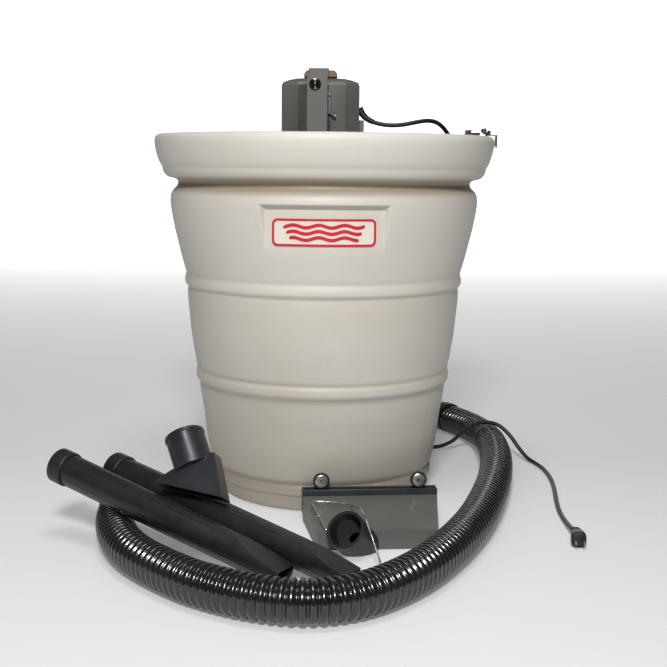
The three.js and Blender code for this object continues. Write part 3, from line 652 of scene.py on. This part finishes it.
xs, lo, hi = round_rect(-85, 87, 471.2, 516.2, 9)
badge = curved("badge_base", xs, lo, hi, PANEL_R + 0.35, PANEL_R + 1.1)
dress(badge, "badge", "badge_plate")
fr = frame_ring("badge_frame", (-85, 87, 471.2, 516.2, 9), (-81.2, 83.2, 475.0, 512.4, 5.6), PANEL_R + 1.15, PANEL_R + 1.7)
dress(fr, "badge_red", body="tank", slot="badge")
for i, zc in enumerate((483.6, 493.7, 503.8)):
    ph = 0.5 * i
    x0, x1 = -66 + 5 * (2 - i), 58 + 5 * i
    mid = lambda x, zc=zc: zc + 2.2 * math.sin(2 * math.pi * (x + 60) / 42.0)
    def half(x, x0=x0, x1=x1):
        e = min(x - x0, x1 - x)
        return 2.9 * math.sqrt(max(0.004, min(1.0, e / 2.9) * (2 - min(1.0, e / 2.9))))
    bx = [x0, x0 + 0.3, x0 + 0.8, x0 + 1.5] + list(np.linspace(x0 + 2.9, x1 - 2.9, 60)) + [x1 - 1.5, x1 - 0.8, x1 - 0.3, x1]
    wv = curved("badge_wave_%d" % (i + 1), bx, lambda x, m=mid, h=half: m(x) - h(x), lambda x, m=mid, h=half: m(x) + h(x), PANEL_R + 1.15, PANEL_R + 1.65, nz=3)
    dress(wv, "badge_red", body="tank", slot="badge")

# ------------------------------------------------------------------ wands
def wand(name, node, a, b):
    """Extension wand in mm: socket collar, long ridges, tapered end with a slanted flat."""
    a, b = Vector(a), Vector(b)
    d = b - a
    L = d.length
    B = basis(d)
    st = [0, 0.5, 1.4, 3, 23, 24.6, 25.4, 26.0, 27.0, 28.2, 30.5, 34] + list(np.linspace(38, L - 96, 30)) + list(np.linspace(L - 94, L - 1.2, 60)) + [L]
    th = list(np.linspace(0, 2 * math.pi, 168, endpoint=False))
    n = len(th)
    ridges = [(math.radians(v), h, w) for v, h, w in ((72, 0.8, 0.035), (118, 0.8, 0.035), (-16, 0.8, 0.035), (196, 0.8, 0.035), (-62, 1.1, 0.03), (242, 1.1, 0.03))]
    V = []
    for s in st:
        base = 27.9 if s < 0.3 else 28.3 if s < 1.0 else 28.5 if s < 24 else 28.2 if s < 25 else 27.3 if s < 25.7 else 25.9 if s < 26.5 else 25.2
        base = min(base, 25.2) if s > 27 else base
        if 25.9 < s < 27.5:
            base = 24.6
        if s > L - 300:
            base -= 2.6 * (s - (L - 300)) / 300
        cut = None
        if s > L - 92:          # slanted flat near the end
            cut = base - 15.5 * ((s - (L - 92)) / 92) ** 1.0
        for t in th:
            r = base
            if s > 29:
                for t0, hgt, wd in ridges:
                    dd = (t - t0 + math.pi) % (2 * math.pi) - math.pi
                    if abs(dd) < 4 * wd:
                        r += hgt * math.exp(-(dd / wd) ** 2)
            x, y = r * math.cos(t), r * math.sin(t)
            if cut is not None and y > cut:
                y = cut + (y - cut) * 0.03
            V.append(a * MM + B @ (Vector((x, y, s)) * MM))
    rows = len(st)
    F = grid_faces(rows, n)
    bore = ((0.6, 25.4), (3.0, 23.4), (30, 22.9), (70, 22.0))
    o0 = len(V)
    for s, r in bore:
        for t in th:
            V.append(a * MM + B @ (Vector((r * math.cos(t), r * math.sin(t), s)) * MM))
    F += [(j, (j + 1) % n, o0 + (j + 1) % n, o0 + j) for j in range(n)]
    for i in range(len(bore) - 1):
        F += [(o0 + i * n + j, o0 + i * n + (j + 1) % n, o0 + (i + 1) * n + (j + 1) % n, o0 + (i + 1) * n + j) for j in range(n)]
    V.append(a * MM + B @ (Vector((0, 0, 70)) * MM))
    k, l0 = len(V) - 1, o0 + (len(bore) - 1) * n
    F += [(k, l0 + (j + 1) % n, l0 + j) for j in range(n)]
    e0 = (rows - 1) * n
    loc = V[e0:e0 + n]
    cen = sum(loc, Vector((0, 0, 0))) / n
    dn = d.normalized()
    i0 = len(V)
    V += [cen + (q - cen) * 0.90 for q in loc]
    V += [cen + (q - cen) * 0.87 - dn * 30 * MM for q in loc]
    for j in range(n):
        q = (j + 1) % n
        F.append((e0 + j, e0 + q, i0 + q, i0 + j))
        F.append((i0 + j, i0 + q, i0 + n + q, i0 + n + j))
    V.append(cen - dn * 30 * MM)
    F += [(len(V) - 1, i0 + n + j, i0 + n + (j + 1) % n) for j in range(n)]
    return dress(mesh_obj(name, V, F, sharp=38), "wand_plastic", node)


wand("wand_front_tube", "wand_front", (-425.7, -322, 117.4), (-50.7, -554.2, 24))
wand("wand_rear_tube", "wand_rear", (-345, -272, 98), (44, -568, 25))

# ------------------------------------------------------------------ nozzles
refine("utility_nozzle", 1.6, 28, 3, "fan_nozzle")
refine("nozzle_body", 2.2, 25, 3)
refine("mouth_channel", 0.9, 30, 2)
refine("squeegee_strip", 0.8, 30, 2)
refine("nozzle_neck", 0.8, 40, 2)
# painted shade: a thin black ring on the body's face inside the neck, open round the air way, standing for the dark
# bore
nvec = Vector((-0.42, -0.66, 0.62)).normalized()
face_m = Matrix.Translation((-31, -240, 0)) @ Matrix.Rotation(math.radians(5), 4, "Z")
face_i = face_m.inverted()
n_loc = (face_i.to_3x3() @ nvec).normalized()
p_loc = face_i @ Vector((37.6, -420, 44.8))
e1 = n_loc.cross(Vector((0, 0, 1))).normalized()
e2 = n_loc.cross(e1)
GN, ring = 72, []
for yy in (-152.7, -153.5):
    outer, inner = [], []
    for j in range(GN):
        q = p_loc + (e1 * math.cos(2 * math.pi * j / GN) + e2 * math.sin(2 * math.pi * j / GN)) * 26.7
        q = q - n_loc * ((q.y - yy) / n_loc.y)
        outer.append((q.x, max(q.z, 1.2)))
    for ox, oz in outer:
        dx, dz = ox - 76.0, oz - 16.0
        k = 13.3 / math.hypot(dx, dz)
        inner.append((76.0 + dx * k, 16.0 + dz * k))
    ring.append([(face_m @ Vector((x, yy, z))) * MM for x, z in outer])
    ring.append([(face_m @ Vector((x, yy, z))) * MM for x, z in inner])
ro, ri, fo, fi = ring
GVV = ro + fo + fi + ri
bore_shade_ring = mesh_obj("neck_bore_shade", GVV, grid_faces(4, GN, wrap_r=True), sharp=40)
dress(bore_shade_ring, "rubber", "nozzle_neck")
refine("caster_pin_left", 0.5, 30, 2)
refine("caster_pin_right", 0.5, 30, 2)
yaw = math.radians(5)
for side, x in (("left", 32), ("right", 200)):
    cx = -31 + x * math.cos(yaw) - 7.2 * math.sin(yaw)
    cy = -240 + x * math.sin(yaw) + 7.2 * math.cos(yaw)
    ax = (math.sin(yaw), -math.cos(yaw), 0)
    tyre = [[11.2, -2.6], [12.2, -3.0], [13.2, -2.7], [13.9, -1.9], [14.25, -0.8], [14.25, 0.8], [13.9, 1.9], [13.2, 2.7], [12.2, 3.0], [11.2, 2.6]]
    t = lathe("caster_tyre_" + side, tyre, 64, (cx, cy, 68), ax)
    dress(t, "rubber", body="caster_" + side, slot="rubber")
    hub = [[2.6, -3.6], [4.5, -3.8], [5.2, -3.2], [8.8, -2.2], [10.4, -2.6], [11.1, -2.2], [11.1, 2.2], [10.6, 2.9], [9.6, 3.3], [8.0, 3.6], [6.0, 3.85], [4.4, 3.95], [3.0, 3.99], [2.6, 3.9]]
    h = lathe("caster_hub_" + side, hub, 64, (cx, cy, 68), ax)
    dress(h, "caster", "caster_wheel_" + side)
W = [[9, -396, 36.5], [4, -372, 37.5], [-12, -296, 44], [-14, -283, 45.6], [-4, -279, 46], [40, -288, 46], [49, -294, 46], [53, -312, 49], [58, -360, 62], [62, -395, 72], [67, -430, 70], [77, -456, 48], [86, -468, 24], [90.5, -474, 10]]
wp, _ = catmull(W, 2.5)
dress(sweep("bail_wire", wp, np.full(len(wp), 1.55), 12), "wire", "wire_bail")

# ------------------------------------------------------------------ motor head
refine("head_cover", 2.4, 22, 3)
refine("top_vent_cap", 3.0, 30, 3)
refine("top_strap", 1.4, 30, 2)
refine("motor_base_ring", 1.5, 30, 2)
BZ = (-17, -82.3, 742.5)
bz = lathe("bezel_ring", [[7.4, 0], [10.2, 0], [10.5, 0.6], [10.3, 1.8], [9.5, 2.7], [8.2, 2.9], [7.4, 2.2]], 64, BZ, (0, -1, 0))
dress(bz, "gloss_black", "button_bezel")
bt = lathe("overload_button", [[0, -8.6], [5.5, -8.6], [6.7, -8.2], [6.8, 1.6], [6.5, 2.6], [5.6, 3.2], [4.9, 3.1], [4.5, 2.7], [4.1, 3.2], [3.2, 4.0], [1.6, 4.5], [0, 4.7]], 64, BZ, (0, -1, 0))
dress(bt, "gloss_black", "reset_button")
refine("toggle_plate", 0.4, 30, 2)
refine("toggle_screw_upper", 0.35, 30, 2)
refine("toggle_screw_lower", 0.35, 30, 2)
refine("toggle_lever", 0.3, 40, 2)
refine("lid", 0.6, 30, 2)
refine("lid_screw", 0.6, 30, 2)
ip = [[26.2, 604.6], [27, 604], [29.2, 604.2], [29.4, 606], [29.4, 643.7], [43.4, 643.7], [43.9, 644.3], [43.9, 646.8], [43.0, 647.9], [35.5, 648.1], [34.2, 649], [33.9, 650.5], [33.9, 653.4], [33.0, 654.4], [31.2, 654.5], [27.2, 654.4], [26.1, 653.2]]
dress(lathe("hose_port", ip, 64, (-165, 95, 0)), "black_plastic", "inlet_port")
for sfx in ("right", "rear"):
    refine("latch_base_" + sfx, 0.6, 30, 2)
    refine("latch_lever_" + sfx, 1.0, 30, 3)
    refine("latch_hook_" + sfx, 0.7, 30, 2)

# every other piece, mostly inside, gets the same fine bevel and its own finish
for node in sorted(frame["nodes"]):
    if not frame["nodes"][node].hide_render:
        refine(node, 0.35, 32, 2)
